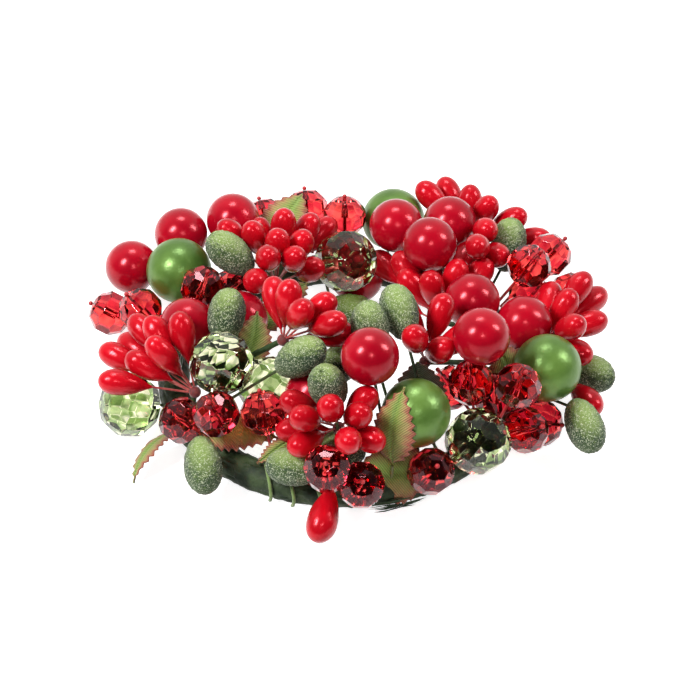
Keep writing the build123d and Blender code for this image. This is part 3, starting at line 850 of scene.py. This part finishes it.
def tape_radius_at(bearing, climb):
    """Reach of the tape from the middle of the hoop: slanting laps, each proud of the last, with creases."""
    slant = math.tan(tape_lap_slant) * tape_radius / ring_radius * math.sin(climb)
    lap = (bearing + slant) / math.tau * tape_laps % 1
    wander = noise.noise(Vector((math.cos(bearing), math.sin(bearing), 0)) * crepe_lines_round)
    around = Vector((math.cos(climb), math.sin(climb), wander / crepe_lines_across))
    around *= crepe_lines_across / crepe_stretch
    crease = noise.noise(around + Vector((bearing * crepe_wander / math.tau, 0, 0)))
    return tape_radius + tape_lap_height * (1 - lap) - crepe_depth * abs(crease)


def make_tape():
    """The tape round the hoop, creased and lapped, flat where it stands."""
    bm = bmesh.new()
    bmesh.ops.create_circle(bm, segments=tape_steps_across, radius=tape_radius)
    turn = Matrix.Translation((ring_radius, 0, 0)) @ Matrix.Rotation(math.pi / 2, 4, "X")
    bmesh.ops.transform(bm, matrix=turn, verts=bm.verts)
    bmesh.ops.spin(bm, geom=list(bm.verts) + list(bm.edges), cent=(0, 0, 0), axis=(0, 0, 1), angle=math.tau,
                   steps=tape_steps_round, use_merge=True)
    for vert in bm.verts:
        bearing = math.atan2(vert.co.y, vert.co.x)
        out = math.hypot(vert.co.x, vert.co.y) - ring_radius
        climb = math.atan2(vert.co.z, out)
        radius = tape_radius_at(bearing, climb)
        reach = ring_radius + radius * math.cos(climb)
        rise = max(ring_height + radius * math.sin(climb), 0)
        vert.co = (reach * math.cos(bearing), reach * math.sin(bearing), rise)
    smooth_faces(bm)
    add_piece("tape_wrap_crepe", bm, ["tape"], "tape_wrap")


def make_round_stock(node, key):
    """Wires and threads: the CAD shapes with smooth sides."""
    bm = joined_copy(node)
    smooth_faces(bm)
    add_piece(node + "_smooth", bm, [key], node)


def off_hoop(point):
    """How far a place is from the middle of the taped hoop."""
    return math.hypot(math.hypot(point.x, point.y) - ring_radius, point.z - ring_height)


def make_stalks(node):
    """Taped stalks, each with a knot at its far end that is wound with the pips' threads."""
    knots = [max(far_ends(points), key=off_hoop) for points in solids_of(node)]
    bm = joined_copy(node)
    smooth_faces(bm)
    for face in bm.faces:
        reach = min((face.calc_center_median() - knot).length for knot in knots)
        face.material_index = 1 if reach < knot_diameter else 0
    add_piece(node + "_smooth", bm, ["stalk", "knot"], node)


def strand(bearings, heights, reach, radius):
    """A closed strand of tape that runs along the outside of the hoop and ends in points."""
    shape = bmesh.new()
    rows = []
    for bearing, height, share in zip(bearings, heights, strand_shares):
        spot = Vector((reach * math.cos(bearing), reach * math.sin(bearing), height))
        outward = Vector((math.cos(bearing), math.sin(bearing), 0))
        turns = [math.tau * side / strand_sides for side in range(strand_sides)]
        across = [outward * math.cos(turn) * strand_flat_share + Vector((0, 0, math.sin(turn)))
                  for turn in turns]
        rows.append([shape.verts.new(spot + way * radius * share) for way in across])
    for low, high in zip(rows, rows[1:]):
        for side in range(strand_sides):
            after = (side + 1) % strand_sides
            shape.faces.new((low[side], low[after], high[after], high[side]))
    shape.faces.new(rows[0])
    shape.faces.new(rows[-1])
    bmesh.ops.recalc_face_normals(shape, faces=shape.faces)
    return shape


def make_tape_end(node):
    """The loose end of the tape, torn into strands that lie along the hoop."""
    points = solids_of(node)[0]
    bearings = [math.atan2(point.y, point.x) for point in points]
    low, high = corners(points)
    first, last = min(bearings), max(bearings)
    reach = min(math.hypot(point.x, point.y) for point in points) + strand_radius * strand_flat_share
    bm = bmesh.new()
    for index in range(tape_strands):
        start = first + (last - first) * chance.uniform(*strand_start_shares)
        end = last + (last - first) * chance.uniform(*strand_end_shares)
        room = high.z - low.z - 2 * strand_radius
        height = low.z + strand_radius + room * index / (tape_strands - 1)
        steps = len(strand_shares) - 1
        runs = [start + (end - start) * step / steps for step in range(steps + 1)]
        waves = [noise.noise(Vector((bearing * strand_wave_scale, index, 0))) for bearing in runs]
        rises = [max(height + strand_wave * wave, strand_radius) for wave in waves]
        out = reach + chance.uniform(0, strand_lift)
        take_in(bm, strand(runs, rises, out, strand_radius * chance.uniform(*strand_size_shares)))
    smooth_faces(bm)
    add_piece(node + "_strands", bm, ["tape_end"], node)


def paint_node(node, key):
    """Gives a CAD node that stays its finish."""
    mesh = frame["nodes"][node].data
    mesh.materials.clear()
    mesh.materials.append(finishes[key])


# Studio

def make_floor():
    """A wide white floor that keeps the shadow of the ring."""
    mesh = bpy.data.meshes.new("floor")
    bm = bmesh.new()
    bmesh.ops.create_grid(bm, x_segments=1, y_segments=1, size=floor_size)
    bm.to_mesh(mesh)
    bm.free()
    floor = bpy.data.objects.new("floor", mesh)
    bpy.context.scene.collection.objects.link(floor)
    material = bpy.data.materials.new("floor_white")
    material.use_nodes = True
    nodes, links = material.node_tree.nodes, material.node_tree.links
    shader = nodes["Principled BSDF"]
    shader.inputs["Base Color"].default_value = floor_colour
    shader.inputs["Roughness"].default_value = floor_roughness
    shader.inputs["Specular IOR Level"].default_value = 0
    shader.inputs["Emission Color"].default_value = white
    seen = seen_rays(nodes, links)
    glow = nodes.new("ShaderNodeMath")
    glow.operation = "MULTIPLY"
    glow.inputs[1].default_value = floor_glow
    links.new(seen, glow.inputs[0])
    links.new(glow.outputs["Value"], shader.inputs["Emission Strength"])
    mesh.materials.append(material)


def seen_rays(nodes, links):
    """One for rays from the camera, off gloss or through glass, and zero for the rest."""
    path = nodes.new("ShaderNodeLightPath")
    total = path.outputs["Is Camera Ray"]
    for label in ("Is Glossy Ray", "Is Transmission Ray"):
        add = nodes.new("ShaderNodeMath")
        add.operation = "MAXIMUM"
        links.new(total, add.inputs[0])
        links.new(path.outputs[label], add.inputs[1])
        total = add.outputs["Value"]
    return total


def make_world():
    """A soft grey room, white behind the ring and dark in front of it where it is seen."""
    world = bpy.data.worlds.new("studio")
    bpy.context.scene.world = world
    world.use_nodes = True
    nodes, links = world.node_tree.nodes, world.node_tree.links
    sky = nodes["Background"]
    sky.inputs["Color"].default_value = white
    direction = nodes.new("ShaderNodeTexCoord")
    apart = nodes.new("ShaderNodeSeparateXYZ")
    backdrop = nodes.new("ShaderNodeMapRange")
    backdrop.interpolation_type = "SMOOTHSTEP"
    for label, value in zip(("From Min", "From Max"), backdrop_edges):
        backdrop.inputs[label].default_value = value
    backdrop.inputs["To Min"].default_value = front_dark
    backdrop.inputs["To Max"].default_value = backdrop_white
    level = nodes.new("ShaderNodeMapRange")
    level.inputs["To Min"].default_value = studio_grey
    links.new(direction.outputs["Generated"], apart.inputs["Vector"])
    links.new(apart.outputs["Y"], backdrop.inputs["Value"])
    links.new(backdrop.outputs["Result"], level.inputs["To Max"])
    links.new(seen_rays(nodes, links), level.inputs["Value"])
    links.new(level.outputs["Result"], sky.inputs["Strength"])


def make_lamps():
    """Oval lamps that face the ring."""
    for name, spot, width, height, power in lamps:
        light = bpy.data.lights.new(name, "AREA")
        light.shape = "ELLIPSE"
        light.size = width
        light.size_y = height
        light.energy = power
        lamp = bpy.data.objects.new(name, light)
        lamp.location = spot
        lamp.rotation_mode = "QUATERNION"
        lamp.rotation_quaternion = (-Vector(spot)).to_track_quat("-Z", "Y")
        bpy.context.scene.collection.objects.link(lamp)


def make_camera():
    """The camera, where the photograph was taken from."""
    camera = bpy.data.cameras.new("photo_camera")
    camera.sensor_width = sensor_width_mm
    camera.lens = sensor_width_mm * lens_pixels / photo_pixels
    camera.clip_start = ring_radius
    seat = bpy.data.objects.new("photo_camera", camera)
    target = Vector(camera_target_shares) * ring_radius
    back = Vector((0, -math.cos(camera_tilt), math.sin(camera_tilt)))
    seat.location = target + back * ring_radius * camera_distance_share
    seat.rotation_euler = (math.pi / 2 - camera_tilt, 0, 0)
    bpy.context.scene.collection.objects.link(seat)
    bpy.context.scene.camera = seat


# The ring

def make_ring():
    """Every node of the CAD part gets its finished piece, or its finish."""
    slots = {part["node"]: part["material_slot"] for part in frame["record"]["subparts"]}
    bud_wires = [point for points in solids_of("bud_wires") for point in points]
    leaf_wires = [point for points in solids_of("leaf_wires") for point in points]
    make_tape()
    for node, slot in slots.items():
        if slot in ("berry", "pearl"):
            make_balls(node, slot)
        elif slot in ("bead", "crystal"):
            make_cut_stones(node, slot)
        elif slot == "pip":
            make_pips(node)
        elif slot == "bud":
            make_buds(node, bud_wires)
        elif slot == "leaf":
            make_leaf(node, leaf_wires)
        elif slot == "stalk":
            make_stalks(node)
        elif slot == "tape_end":
            make_tape_end(node)
        elif slot in ("wire", "bead_wire", "thread"):
            make_round_stock(node, own_finishes.get(node, slot))
        elif slot in ("hoop_steel", "stem"):
            paint_node(node, slot)


make_camera()
make_world()
make_lamps()
make_floor()
make_ring()

scene = bpy.context.scene
scene.view_settings.view_transform = "Standard"
